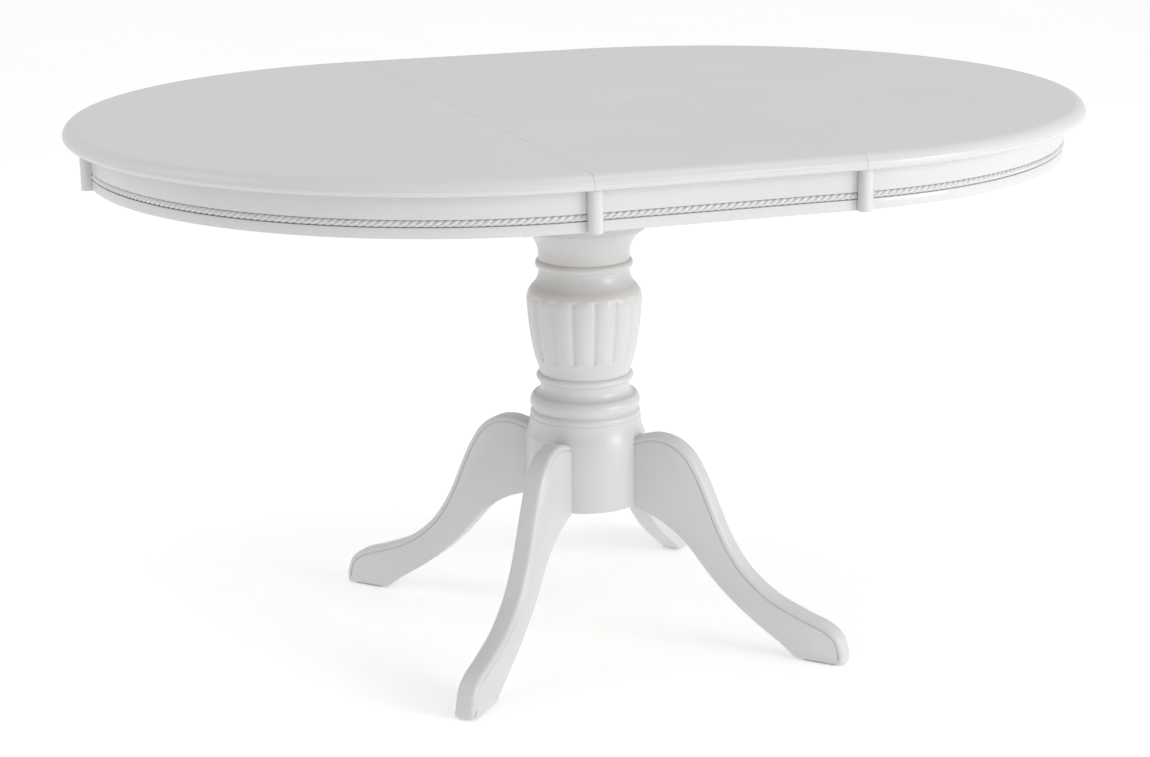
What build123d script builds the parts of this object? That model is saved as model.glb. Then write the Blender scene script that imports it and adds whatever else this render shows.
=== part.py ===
"""Extending pedestal table: round when closed, drawn open over a folding butterfly leaf.

Frame: origin on the floor under the column, +X the drawing direction, -Y the front, +Z up.
All sizes are in millimetres.  The rest state is the open table with its leaf in place.
"""
import os
from math import atan2, cos, degrees, hypot, pi, radians, sin, tan

from build123d import *

os.makedirs("parts", exist_ok=True)

# --- driving dimensions -------------------------------------------------------------
TOP_R = 530.0            # radius of each round half
LEAF_W = 350.0           # width of the butterfly leaf along X
HEIGHT = 760.0
TOP_T = 20.0
APRON_R = 501.0          # outer face of the apron
APRON_T = 14.0
APRON_H = 54.0
GAP = 0.3                # between the leaf and each half
FOLD_GAP = 0.2           # between each wing and the fold line
EDGE_IN = 17.0           # how far in from the rim the moulded edge begins
BEAD_R = 6.0             # bead along the lower edge of the top
QUIRK_D = 0.5            # small step between that bead and the ovolo above it

UNDER_Z = HEIGHT - TOP_T             # underside of the top
APRON_Z = UNDER_Z - APRON_H          # bottom edge of the apron
SEAM = LEAF_W / 2                    # |x| of the seams
WING_X = SEAM - GAP                  # half width of a wing
APRON_IN = APRON_R - APRON_T

TWIST_R = 5.2                        # half-round twist moulding in its groove
TWIST_Z = APRON_Z + 18.0
GROOVE_H = 10.8
GROOVE_D = 4.0
BLOCK_W = 18.0                       # small round-fronted blocks on the apron
BLOCK_D = 13.0
BLOCK_ROUND = 8.0

# --- extension slides ---------------------------------------------------------------
RAIL_Y = 326.0                       # |y| of the fixed runners
RAIL_W = 24.0
RAIL_TOP = 720.0
RAIL_BOTTOM = 692.0
RAIL_FIT = 0.4                       # side play between runners
SLIDER_W = 22.0
TONGUE_H, TONGUE_D = 9.4, 5.6
GROOVE_PLAY = 0.3
TONGUE_Z = (RAIL_TOP + RAIL_BOTTOM) / 2
FIXED_HALF = 300.0                   # half length of a fixed runner
SLIDER_REACH = 150.0                 # how far a slider reaches past the column
SLIDER_END = 480.0
TOP_SCREW_XS = (210.0, 320.0, 430.0)
TOP_SCREW_IN = 12.0                  # how far they reach into the top
HEAD_SINK = 16.0                     # depth of their heads in the runner
SLIDERS_IN = {-1: True, 1: False}    # left half runs inside the fixed pair, right half outside

MODULE = 2.0
TEETH = 16
PITCH_R = MODULE * TEETH / 2
ADDENDUM = 1.6
DEDENDUM = 2.4
PRESSURE = radians(20)
BACKLASH = 0.25
RACK_Z, RACK_H, RACK_W = 680.0, 12.0, 10.0
RACK_SPAN = (-66.0, 192.0)           # along X, from the column's axis towards its own half
PINION_Z, PINION_H = 681.2, 10.0
PINION_IN = 16.0                     # how far a pinion's bolt reaches into its runner
SHOULDER_R = 4.0                     # shoulder screws and pins
HEAD_R = 7.0
SHAFT_PLAY = 0.05

# --- pedestal -----------------------------------------------------------------------
BASE_R = 85.0
BASE_Z = 190.0
COLUMN_TOP = 594.0
CAVITY_R, CAVITY_TOP = 46.0, 286.0
REEDS = 16
REED_Z, REED_LEN = 446.0, 96.0       # middle height and length of the reeded band
REED_R, REED_FLARE = 76.6, 12.5      # radius there, and how much it widens over the band
REED_CUT = 6.4
REED_START = 13.4                    # angle of the first groove between two reeds
LEG_T = 30.0
LEG_SPREAD = 46.5                    # angle between each leg and the drawing direction
GLIDE_T = 3.0
GLIDE_R = 366.0                      # distance of the glides from the column's axis
COVER_R, COVER_T = 66.0, 6.0
BOLT_ZS = (222.0, 266.0)             # heights of the two bolts in each leg
BOLT_R = 4.0
NUT_X, NUT_R, NUT_LEN = 122.0, 7.0, 24.0
PLATE_T = 18.0
PLATE_X, PLATE_Y = 300.0, 156.0
BEARER_IN, BEARER_OUT = 70.0, 140.0
BEARER_Z = COLUMN_TOP + PLATE_T
BEARER_TOP = 648.0                   # in the middle, under the folded leaf
BEARER_END = 345.0
RISER_Z = 672.0                      # shelf for the riser blocks at both ends

# --- folding leaf -------------------------------------------------------------------
STOW_Y = 265.0                       # travel of the front wing, rest to stowed
STOW_Z = -70.0
PIN_Z = 730.0                        # bracket pins under the front wing
PIN_YS = (-268.0, -128.0)
PIVOT_Z = 632.0                      # arm pivots on the bearers
ARM_RISE = PIN_Z - PIVOT_Z
ARM_DROP = ARM_RISE + STOW_Z
ARM_BACK = (STOW_Y**2 + ARM_DROP**2 - ARM_RISE**2) / (2 * STOW_Y)
ARM_LEN = hypot(ARM_BACK, ARM_RISE)
ARM_W, ARM_T = 13.0, 4.0
ARM_X = BEARER_OUT + 0.6             # inner face of the arms
BRACKET_X = ARM_X + ARM_T + 0.8       # inner face of the bracket plates
BRACKET_FOOT = 23.0                  # width of their flange under the wing
SKIRT_GAP = 0.5                      # between a leaf's wing and its folding apron
HINGE_XS = (-120.0, 0.0, 120.0)      # fold hinges let into the wings
HINGE_R, HINGE_D = 6.0, 12.0
HINGE_PLATE_XS = (-130.0, 130.0)     # inlaid plates of the leaf's apron hinges
HINGE_PLATE = (40.0, 28.0, 2.0)

# --- locks --------------------------------------------------------------------------
LOCK_X = SEAM + 25.0
LOCK_Y = 385.0
LEVER_LEN, LEVER_W, LEVER_T = 46.0, 12.0, 6.0
LEVER_Z = 729.0
KEEPER_X = (156.0, 170.0)            # |x| of the keepers under the wings


def save(part, name):
    """Label a finished piece and write its STEP file."""
    part.label = name
    export_step(part, f"parts/{name}.step")


# --- shared shapes ------------------------------------------------------------------
def edge_profile(inner):
    """Section of the top with its moulded edge: radius across, height up."""
    r, z = TOP_R, UNDER_Z
    step = r - QUIRK_D
    bead_mid = BEAD_R * (1 - sin(radians(45)))
    with BuildSketch() as section:
        with BuildLine():
            Polyline((inner, HEIGHT), (inner, z), (r - BEAD_R, z))
            ThreePointArc((r - BEAD_R, z), (r - bead_mid, z + bead_mid), (r, z + BEAD_R))
            Polyline((r, z + BEAD_R), (r, z + 7.5), (step, z + 7.5), (step, z + 9))
            ThreePointArc((step, z + 9), (r - 6.5, z + 16.7), (r - EDGE_IN, HEIGHT))
            Line((r - EDGE_IN, HEIGHT), (inner, HEIGHT))
        make_face()
    return section.sketch


def apron_profile():
    """Section of the apron board with the groove for the twist moulding."""
    with BuildSketch() as section:
        with Locations(((APRON_R + APRON_IN) / 2, APRON_Z + APRON_H / 2)):
            Rectangle(APRON_T, APRON_H)
        with Locations((APRON_R - GROOVE_D / 2, TWIST_Z)):
            Rectangle(GROOVE_D, GROOVE_H, mode=Mode.SUBTRACT)
    return section.sketch


def twist_profile():
    """Half-round bead, flat against the bottom of its groove."""
    seat = APRON_R - GROOVE_D
    with BuildSketch() as section:
        with Locations((seat, TWIST_Z)):
            Circle(TWIST_R)
        with Locations((seat - TWIST_R, TWIST_Z)):
            Rectangle(2 * TWIST_R, 2 * TWIST_R, mode=Mode.SUBTRACT)
    return section.sketch


def half_ring(section, side):
    """Turn an (r, z) section half way round the centre of one round half."""
    with BuildPart() as ring:
        with BuildSketch(Plane.XZ):
            add(section)
        revolve(axis=Axis.Z, revolution_arc=180)
    turn = -90 if side > 0 else 90
    return ring.part.moved(Location((side * SEAM, 0, 0), (0, 0, turn)))


def straight(section, front, width):
    """Extrude an (r, z) section along X on the front (-Y) or rear (+Y) of the leaf."""
    sign = -1 if front else 1
    plane = Plane(origin=(-sign * width / 2, 0, 0), x_dir=(0, sign, 0), z_dir=(sign, 0, 0))
    with BuildPart() as bar:
        with BuildSketch(plane):
            add(section)
        extrude(amount=width)
    return bar.part


def block(turn, centre_x, flat_back=False):
    """Small block on the apron, built on +X and turned about (centre_x, 0)."""
    with BuildPart() as small:
        with BuildSketch(Plane.XY.offset(APRON_Z)):
            with Locations((APRON_R + BLOCK_D / 2 - 1, 0)):
                Rectangle(BLOCK_D + 2, BLOCK_W)
            fillet(vertices().group_by(Axis.X)[-1], BLOCK_ROUND)
            if flat_back:
                with Locations((APRON_R - BLOCK_D / 2, 0)):
                    Rectangle(BLOCK_D, 2 * BLOCK_W, mode=Mode.SUBTRACT)
            else:
                Circle(APRON_R, mode=Mode.SUBTRACT)
        extrude(amount=APRON_H - GAP)
    return small.part.moved(Location((centre_x, 0, 0), (0, 0, turn)))


def cylinder_solid(x, y, z0, z1, r):
    """Upright cylinder between two heights."""
    return Pos(x, y, (z0 + z1) / 2) * Cylinder(r, z1 - z0, mode=Mode.PRIVATE)


def along_x(side, x0, x1, y, z, r):
    """Cylinder along X between |x| = x0 and x1 on one side."""
    bar = Cylinder(r, x1 - x0, mode=Mode.PRIVATE)
    return Pos(side * (x0 + x1) / 2, y, z) * Rot(0, 90, 0) * bar


def screws_up(points, z_head, z_tip, shank_r, head_r, head_h):
    """Screws driven upwards, one separate solid for each point."""
    made = []
    for x, y in points:
        head = cylinder_solid(x, y, z_head, z_head + head_h, head_r)
        shank = cylinder_solid(x, y, z_head + head_h, z_tip, shank_r)
        made.append(head + shank)
    return Compound(children=made)


def box_between(low, high):
    """Box given by its lowest and highest corner."""
    size = [b - a for a, b in zip(low, high)]
    mid = [(a + b) / 2 for a, b in zip(low, high)]
    return Pos(*mid) * Box(*size, mode=Mode.PRIVATE)


# --- pedestal -----------------------------------------------------------------------
LEG_TURNS = {"rear_right": LEG_SPREAD, "rear_left": 180 - LEG_SPREAD,
             "front_left": 180 + LEG_SPREAD, "front_right": 360 - LEG_SPREAD}


def bolt_angles():
    return [(turn, z) for turn in LEG_TURNS.values() for z in BOLT_ZS]


def radial(angle, z, r0, r1, radius):
    """Cylinder lying along a radius of the column, from r0 to r1."""
    bar = Cylinder(radius, r1 - r0, mode=Mode.PRIVATE)
    return Rot(0, 0, angle) * Pos((r0 + r1) / 2, 0, z) * Rot(0, 90, 0) * bar


def reed_cutter(angle):
    """Thin wedge that cuts one vertical groove between two reeds of the vase."""
    lean = degrees(atan2(REED_FLARE, REED_LEN))
    wedge = Rot(0, 0, 45) * Box(REED_CUT, REED_CUT, REED_LEN, mode=Mode.PRIVATE)
    return Rot(0, 0, angle) * Pos(REED_R, 0, REED_Z) * Rot(0, lean, 0) * wedge


BEARER_SCREWS = [(x, y) for x in (-105, 105) for y in (-60, 60)]
BEARER_SCREW_IN = 22.0               # how far they reach into a bearer
PLATE_SCREWS = [(x, y) for x in (-42, 42) for y in (-42, 42)]
PLATE_SCREW_IN = 50.0                # how far they reach into the column

with BuildPart() as column:
    with BuildSketch(Plane.XZ):
        with BuildLine():
            Polyline((0, COLUMN_TOP), (0, CAVITY_TOP), (CAVITY_R, CAVITY_TOP), (CAVITY_R, BASE_Z),
                     (BASE_R - 1.5, BASE_Z), (BASE_R, BASE_Z + 1.5), (BASE_R, 287))
            ThreePointArc((BASE_R, 287), (81, 298), (79, 311))
            Polyline((79, 311), (79, 313.5), (78, 314.5))
            ThreePointArc((78, 314.5), (78.4, 319), (75.5, 323.5))
            Line((75.5, 323.5), (74.6, 324.5))
            ThreePointArc((74.6, 324.5), (78.2, 335), (73, 346))
            ThreePointArc((73, 346), (65, 350.5), (63.2, 359))
            Line((63.2, 359), (64.2, 365.5))
            ThreePointArc((64.2, 365.5), (69, 371.5), (64.2, 377.5))
            Line((64.2, 377.5), (65.4, 384))
            Spline((65.4, 384), (71.4, 404), (76.4, 430), (79.6, 456), (81.4, 481))
            ThreePointArc((81.4, 481), (79.3, 494), (71.2, 505))
            ThreePointArc((71.2, 505), (65.7, 515), (63.8, 526.5))
            Line((63.8, 526.5), (64.4, 527.5))
            ThreePointArc((64.4, 527.5), (68.8, 534), (64.4, 540.5))
            Line((64.4, 540.5), (64.2, 549))
            ThreePointArc((64.2, 549), (69.5, 567), (84, 582))
            Polyline((84, 582), (86, 584), (86, COLUMN_TOP), (0, COLUMN_TOP))
        make_face()
    revolve(axis=Axis.Z)
    for k in range(REEDS):
        add(reed_cutter(REED_START + k * 360 / REEDS), mode=Mode.SUBTRACT)
    for angle, z in bolt_angles():
        add(radial(angle, z, CAVITY_R - 12, BASE_R + 2, BOLT_R + 0.2), mode=Mode.SUBTRACT)
    for x, y in PLATE_SCREWS:
        hole = cylinder_solid(x, y, COLUMN_TOP - PLATE_SCREW_IN, COLUMN_TOP, 4)
        add(hole, mode=Mode.SUBTRACT)
save(column.part, "column")

with BuildPart() as leg:
    with BuildSketch(Plane.XZ.offset(-LEG_T / 2)):
        with BuildLine():
            Spline((78, 288), (98, 295), (118, 298), (143, 293), (166, 277), (185, 248), (200, 216),
                   (215, 181), (233, 147), (258, 115), (296, 86), (341, 67), (375, 55), (394, 40),
                   (402.5, 18))
            Polyline((402.5, 18), (402.5, 8), (400.5, GLIDE_T), (332, GLIDE_T), (326, 8))
            Spline((326, 8), (306, 22), (268, 47), (234, 73), (208, 97), (188, 119), (168, 142),
                   (147, 160), (118, 177), (78, 190))
            Line((78, 190), (78, 288))
        make_face()
    extrude(amount=LEG_T)
    upper = [e for e in edges().filter_by(GeomType.BSPLINE) if e.center().Z > 60 and e.length > 400]
    fillet(upper, 5)
    with Locations((0, 0, 250)):
        Cylinder(BASE_R, 200, mode=Mode.SUBTRACT)
    for z in BOLT_ZS:
        add(radial(0, z, BASE_R - 8, NUT_X + 14, BOLT_R + 0.2), mode=Mode.SUBTRACT)
        with Locations(Location((NUT_X, 0, z), (90, 0, 0))):
            Cylinder(NUT_R, NUT_LEN, mode=Mode.SUBTRACT)
for name, turn in LEG_TURNS.items():
    save(leg.part.moved(Location((0, 0, 0), (0, 0, turn))), f"leg_{name}")

with BuildPart() as foot_glides:
    with BuildSketch():
        for turn in LEG_TURNS.values():
            with PolarLocations(GLIDE_R, 1, start_angle=turn):
                SlotOverall(54, 22)
    extrude(amount=GLIDE_T)
save(foot_glides.part, "foot_glides")

with BuildPart() as leg_bolts:
    for angle, z in bolt_angles():
        add(radial(angle, z, CAVITY_R - 8, CAVITY_R - 1, 7.5))
        add(radial(angle, z, CAVITY_R - 1, NUT_X - NUT_R, BOLT_R))
save(leg_bolts.part, "leg_bolts")

with BuildPart() as barrel_nuts:
    for angle, z in bolt_angles():
        nut = Cylinder(NUT_R, NUT_LEN, mode=Mode.PRIVATE)
        add(Rot(0, 0, angle) * Pos(NUT_X, 0, z) * Rot(90, 0, 0) * nut)
save(barrel_nuts.part, "barrel_nuts")

with BuildPart() as base_cover:
    with BuildSketch(Plane.XY.offset(BASE_Z - COVER_T)):
        Circle(COVER_R)
        with PolarLocations(COVER_R - 10, 4):
            Circle(2.2, mode=Mode.SUBTRACT)
    extrude(amount=COVER_T)
save(base_cover.part, "base_cover")

with BuildPart() as top_plate:
    with BuildSketch(Plane.XY.offset(COLUMN_TOP)):
        RectangleRounded(PLATE_X, PLATE_Y, 30)
        with Locations(*PLATE_SCREWS):
            Circle(4, mode=Mode.SUBTRACT)
        with Locations(*BEARER_SCREWS):
            Circle(2.5, mode=Mode.SUBTRACT)
    extrude(amount=PLATE_T)
save(top_plate.part, "top_plate")

with BuildPart() as plate_screws:
    for x, y in PLATE_SCREWS:
        add(cylinder_solid(x, y, COLUMN_TOP - PLATE_SCREW_IN, BEARER_Z, 4))
        add(cylinder_solid(x, y, BEARER_Z, BEARER_Z + 4, 9))
save(plate_screws.part, "plate_screws")


def pivots():
    """(y, z) of the arm pivots on the bearers."""
    return [(y + ARM_BACK, PIVOT_Z) for y in PIN_YS]


for name, side in (("bearer_left", -1), ("bearer_right", 1)):
    with BuildPart() as bearer:
        with BuildSketch(Plane.YZ.offset(side * BEARER_OUT)):
            with BuildLine():
                Polyline((0, BEARER_Z), (110, BEARER_Z), (BEARER_END, RISER_Z - 15),
                         (BEARER_END, RISER_Z), (292, RISER_Z), (262, RISER_Z - 13),
                         (225, BEARER_TOP), (0, BEARER_TOP))
                Line((0, BEARER_TOP), (0, BEARER_Z))
            make_face()
            mirror(about=Plane.YZ)
        extrude(amount=-side * (BEARER_OUT - BEARER_IN))
        for y, z in pivots():
            with Locations(Location((side * (BEARER_OUT - 12), y, z), (0, 90, 0))):
                Cylinder(SHOULDER_R, 24, mode=Mode.SUBTRACT)
        for x, y in BEARER_SCREWS:
            if x * side > 0:
                hole = cylinder_solid(x, y, BEARER_Z, BEARER_Z + BEARER_SCREW_IN, 2.5)
                add(hole, mode=Mode.SUBTRACT)
    save(bearer.part, name)

with BuildPart() as bearer_screws:
    for x, y in BEARER_SCREWS:
        add(cylinder_solid(x, y, COLUMN_TOP - 4, COLUMN_TOP, 6))
        add(cylinder_solid(x, y, COLUMN_TOP, BEARER_Z + BEARER_SCREW_IN, 2.5))
save(bearer_screws.part, "bearer_screws")

with BuildPart() as riser_blocks:
    with BuildSketch(Plane.XY.offset(RISER_Z)):
        with GridLocations(BEARER_IN + BEARER_OUT, 2 * RAIL_Y, 2, 2):
            Rectangle(BEARER_OUT - BEARER_IN, RAIL_W - 2)
    extrude(amount=RAIL_BOTTOM - RISER_Z)
save(riser_blocks.part, "riser_blocks")

with BuildPart() as pivot_bolts:
    for side in (-1, 1):
        for y, z in pivots():
            add(along_x(side, BEARER_OUT - 24, ARM_X + ARM_T + 0.2, y, z, SHOULDER_R))
            add(along_x(side, ARM_X + ARM_T + 0.2, ARM_X + ARM_T + 3.2, y, z, HEAD_R))
save(pivot_bolts.part, "pivot_bolts")


# --- extension slides ---------------------------------------------------------------
for name, sign in (("fixed_runner_front", -1), ("fixed_runner_rear", 1)):
    with BuildPart() as rail:
        with BuildSketch(Plane.YZ.offset(-FIXED_HALF)):
            with Locations((sign * RAIL_Y, TONGUE_Z)):
                Rectangle(RAIL_W, RAIL_TOP - RAIL_BOTTOM)
            depth = TONGUE_D + 0.4
            with Locations(*[(sign * RAIL_Y + d * (RAIL_W - depth) / 2, TONGUE_Z) for d in (-1, 1)]):
                Rectangle(depth, TONGUE_H + 2 * GROOVE_PLAY, mode=Mode.SUBTRACT)
        extrude(amount=2 * FIXED_HALF)
        hole = cylinder_solid(0, sign * RAIL_Y, RAIL_BOTTOM, RAIL_BOTTOM + PINION_IN, SHOULDER_R)
        add(hole, mode=Mode.SUBTRACT)
    save(rail.part, name)


def involute_gear(z0, height, bore):
    """Spur pinion with true involute flanks, one tooth pointing along +Y."""
    base_r = PITCH_R * cos(PRESSURE)
    tip_r = PITCH_R + ADDENDUM
    root_r = PITCH_R - DEDENDUM
    half = pi / (2 * TEETH) - BACKLASH / (2 * PITCH_R) + tan(PRESSURE) - PRESSURE
    flank = []
    for i in range(5):
        r = base_r + (tip_r - base_r) * i / 4
        a = (r / base_r) ** 2 - 1
        roll = max(a, 0) ** 0.5
        flank.append((r, half - (roll - atan2(roll, 1))))
    with BuildPart() as gear:
        with BuildSketch(Plane.XY.offset(z0)):
            Circle(root_r)
            for k in range(TEETH):
                axis = pi / 2 + 2 * pi * k / TEETH
                left = [(r * cos(axis + a), r * sin(axis + a)) for r, a in flank]
                right = [(r * cos(axis - a), r * sin(axis - a)) for r, a in reversed(flank)]
                foot = (root_r - 1) / flank[0][0]
                first = (left[0][0] * foot, left[0][1] * foot)
                last = (right[-1][0] * foot, right[-1][1] * foot)
                with BuildLine():
                    Polyline(first, *left, *right, last, close=True)
                make_face()
            Circle(bore, mode=Mode.SUBTRACT)
        extrude(amount=height)
    return gear.part


def rack(x0, x1, sign, outward):
    """Straight rack under a slider; its teeth face the pinion and a gap sits at x = 0."""
    towards = -1 if outward else 1
    pitch = pi * MODULE
    line = RAIL_Y - towards * PITCH_R
    slope = tan(PRESSURE)
    tooth = pitch / 2 - BACKLASH
    with BuildPart() as bar:
        with BuildSketch(Plane.XY.offset(RACK_Z)):
            mid_y = line - towards * (DEDENDUM + RACK_W / 2)
            with Locations(((x0 + x1) / 2, sign * mid_y)):
                Rectangle(x1 - x0, RACK_W)
            first = int((x0 - pitch) / pitch)
            for k in range(first, int((x1 + pitch) / pitch)):
                x = (k + 0.5) * pitch
                if x - tooth < x0 or x + tooth > x1:
                    continue
                root = tooth / 2 + DEDENDUM * slope
                tip = tooth / 2 - ADDENDUM * slope
                low = sign * (line - towards * (DEDENDUM + 0.5))
                high = sign * (line + towards * ADDENDUM)
                with BuildLine():
                    Polyline((x - root, low), (x - tip, high), (x + tip, high), (x + root, low),
                             close=True)
                make_face()
        extrude(amount=RACK_H)
    return bar.part


for name, sign in (("pinion_front", -1), ("pinion_rear", 1)):
    gear = involute_gear(PINION_Z, PINION_H, SHOULDER_R + SHAFT_PLAY)
    save(gear.moved(Location((0, sign * RAIL_Y, 0))), name)

with BuildPart() as pinion_bolts:
    for sign in (-1, 1):
        neck = PINION_Z - 0.2
        add(cylinder_solid(0, sign * RAIL_Y, neck - 5, neck, HEAD_R + 1))
        add(cylinder_solid(0, sign * RAIL_Y, neck, RAIL_BOTTOM + PINION_IN, SHOULDER_R))
save(pinion_bolts.part, "pinion_bolts")


def slider_y(side):
    """|y| of the inner and outer face of a half's sliders."""
    if SLIDERS_IN[side]:
        face = RAIL_Y - RAIL_W / 2 - RAIL_FIT
        return face - SLIDER_W, face
    face = RAIL_Y + RAIL_W / 2 + RAIL_FIT
    return face, face + SLIDER_W


def screw_xs(side):
    return [side * x for x in TOP_SCREW_XS]


def slider(side, sign):
    """Sliding runner: full height where it is screwed on, lower where it crosses the leaf."""
    y0, y1 = slider_y(side)
    mid = sign * (y0 + y1) / 2
    rail_face, inward = (y1, 1) if SLIDERS_IN[side] else (y0, -1)
    with BuildPart() as runner:
        with BuildSketch(Plane.XZ.offset(-mid)):
            with BuildLine():
                Polyline((-side * SLIDER_REACH, RAIL_BOTTOM), (side * SLIDER_END, RAIL_BOTTOM),
                         (side * SLIDER_END, UNDER_Z), (side * (SEAM + 6), UNDER_Z),
                         (side * (SEAM + 3), RAIL_TOP), (-side * SLIDER_REACH, RAIL_TOP),
                         close=True)
            make_face()
        extrude(amount=SLIDER_W / 2, both=True)
        low = min(-side * SLIDER_REACH, side * SLIDER_END)
        high = max(-side * SLIDER_REACH, side * SLIDER_END)
        ys = sorted((sign * (rail_face - inward), sign * (rail_face + inward * TONGUE_D)))
        add(box_between((low, ys[0], TONGUE_Z - TONGUE_H / 2), (high, ys[1], TONGUE_Z + TONGUE_H / 2)))
        for x in screw_xs(side):
            shelf = RAIL_BOTTOM + HEAD_SINK + 4
            add(cylinder_solid(x, mid, RAIL_BOTTOM, shelf, 5), mode=Mode.SUBTRACT)
            add(cylinder_solid(x, mid, shelf, UNDER_Z, 2.5), mode=Mode.SUBTRACT)
    return runner.part


# --- round halves -------------------------------------------------------------------
GLUE_ANGLES = (-70, -35, 35, 70)
GLUE_T = 20.0
BLOCKS = {-1: (180,), 1: (0, 90 - degrees((BLOCK_W / 2 + GAP) / APRON_R),
                          degrees((BLOCK_W / 2 + GAP) / APRON_R) - 90)}
for word, side in (("left", -1), ("right", 1)):
    centre = side * SEAM
    faces = [block(turn, centre) for turn in BLOCKS[side]]
    runner_mids = [sign * sum(slider_y(side)) / 2 for sign in (-1, 1)]
    top_screws = [(x, y) for x in screw_xs(side) for y in runner_mids]
    lock = (side * LOCK_X, side * LOCK_Y)

    with BuildPart() as top:
        add(half_ring(edge_profile(0.0), side))
        for x, y in top_screws:
            hole = cylinder_solid(x, y, UNDER_Z, UNDER_Z + TOP_SCREW_IN, 2.5)
            add(hole, mode=Mode.SUBTRACT)
        add(cylinder_solid(*lock, UNDER_Z, UNDER_Z + 10, 3.0), mode=Mode.SUBTRACT)
    save(top.part, f"{word}_top")

    save(half_ring(apron_profile(), side), f"{word}_apron")

    with BuildPart() as twist:
        add(half_ring(twist_profile(), side))
        for turn in BLOCKS[side]:
            cut = Pos(APRON_R, 0, TWIST_Z) * Box(40, BLOCK_W + 0.2, 30, mode=Mode.PRIVATE)
            add(cut.moved(Location((centre, 0, 0), (0, 0, turn))), mode=Mode.SUBTRACT)
    save(twist.part, f"{word}_twist_moulding")
    save(Compound(children=faces), f"{word}_apron_blocks")

    for end, sign in (("front", -1), ("rear", 1)):
        save(slider(side, sign), f"{word}_runner_{end}")
    span = sorted(side * x for x in RACK_SPAN)
    racks = [rack(*span, sign, not SLIDERS_IN[side]) for sign in (-1, 1)]
    save(Compound(children=racks), f"{word}_racks")

    with BuildPart() as glue_blocks:
        for turn in GLUE_ANGLES:
            stick = Box(24, 44, GLUE_T, mode=Mode.PRIVATE)
            stick = Pos(APRON_IN - 10, 0, UNDER_Z - GLUE_T / 2) * stick
            facing = turn if side > 0 else turn + 180
            add(stick.moved(Location((centre, 0, 0), (0, 0, facing))))
        with Locations((centre, 0, UNDER_Z - GLUE_T / 2)):
            Cylinder(APRON_IN, GLUE_T, mode=Mode.INTERSECT)
    save(glue_blocks.part, f"{word}_glue_blocks")

    screws = screws_up(top_screws, RAIL_BOTTOM + HEAD_SINK, UNDER_Z + TOP_SCREW_IN, 2.5, 5.0, 4.0)
    save(screws, f"{word}_top_screws")

    pin = cylinder_solid(*lock, LEVER_Z - 3, UNDER_Z, SHOULDER_R)
    root = cylinder_solid(*lock, UNDER_Z, UNDER_Z + 10, 3.0)
    washer = cylinder_solid(*lock, LEVER_Z + LEVER_T + 0.5, UNDER_Z, 10)
    rim = cylinder_solid(*lock, LEVER_Z - 3.5, LEVER_Z - 0.5, 7.5)
    save(pin + root + washer + rim, f"{word}_lock_pivot")

    with BuildPart() as lever:
        with BuildSketch(Plane.XY.offset(LEVER_Z)):
            Circle(9.5)
            with Locations((0, side * LEVER_LEN / 2)):
                Rectangle(LEVER_W, LEVER_LEN)
            fillet(vertices().group_by(Axis.Y)[-1 if side > 0 else 0], 5.5)
            Circle(SHOULDER_R + SHAFT_PLAY, mode=Mode.SUBTRACT)
        extrude(amount=LEVER_T)
    save(lever.part.moved(Location((*lock, 0))), f"{word}_lock_lever")


# --- folding leaf -------------------------------------------------------------------
for name, rest in (("swing_arms_front", PIN_YS[0]), ("swing_arms_rear", PIN_YS[1])):
    arms = []
    for side in (-1, 1):
        with BuildPart() as arm:
            with BuildSketch(Plane.YZ.offset(side * (ARM_X + ARM_T / 2))):
                ends = [(rest + ARM_BACK, PIVOT_Z), (rest, PIN_Z)]
                with Locations((rest + ARM_BACK / 2, (PIVOT_Z + PIN_Z) / 2)):
                    SlotCenterToCenter(ARM_LEN, ARM_W,
                                       rotation=180 - degrees(atan2(ARM_RISE, ARM_BACK)))
                with Locations(*ends):
                    Circle(SHOULDER_R + SHAFT_PLAY, mode=Mode.SUBTRACT)
            extrude(amount=ARM_T / 2, both=True)
        arms.append(arm.part)
    save(Compound(children=arms), name)

with BuildPart() as wing_brackets:
    for side in (-1, 1):
        for y in PIN_YS:
            x0, x1 = side * BRACKET_X, side * (BRACKET_X + 3)
            add(box_between((min(x0, x1), y - 9, PIN_Z - 8), (max(x0, x1), y + 9, UNDER_Z)))
            x2 = side * (BRACKET_X + BRACKET_FOOT)
            add(box_between((min(x0, x2), y - 12, UNDER_Z - 2), (max(x0, x2), y + 12, UNDER_Z)))
            add(along_x(side, ARM_X - 1.5, BRACKET_X + 1, y, PIN_Z, SHOULDER_R))
save(wing_brackets.part, "wing_brackets")

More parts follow.
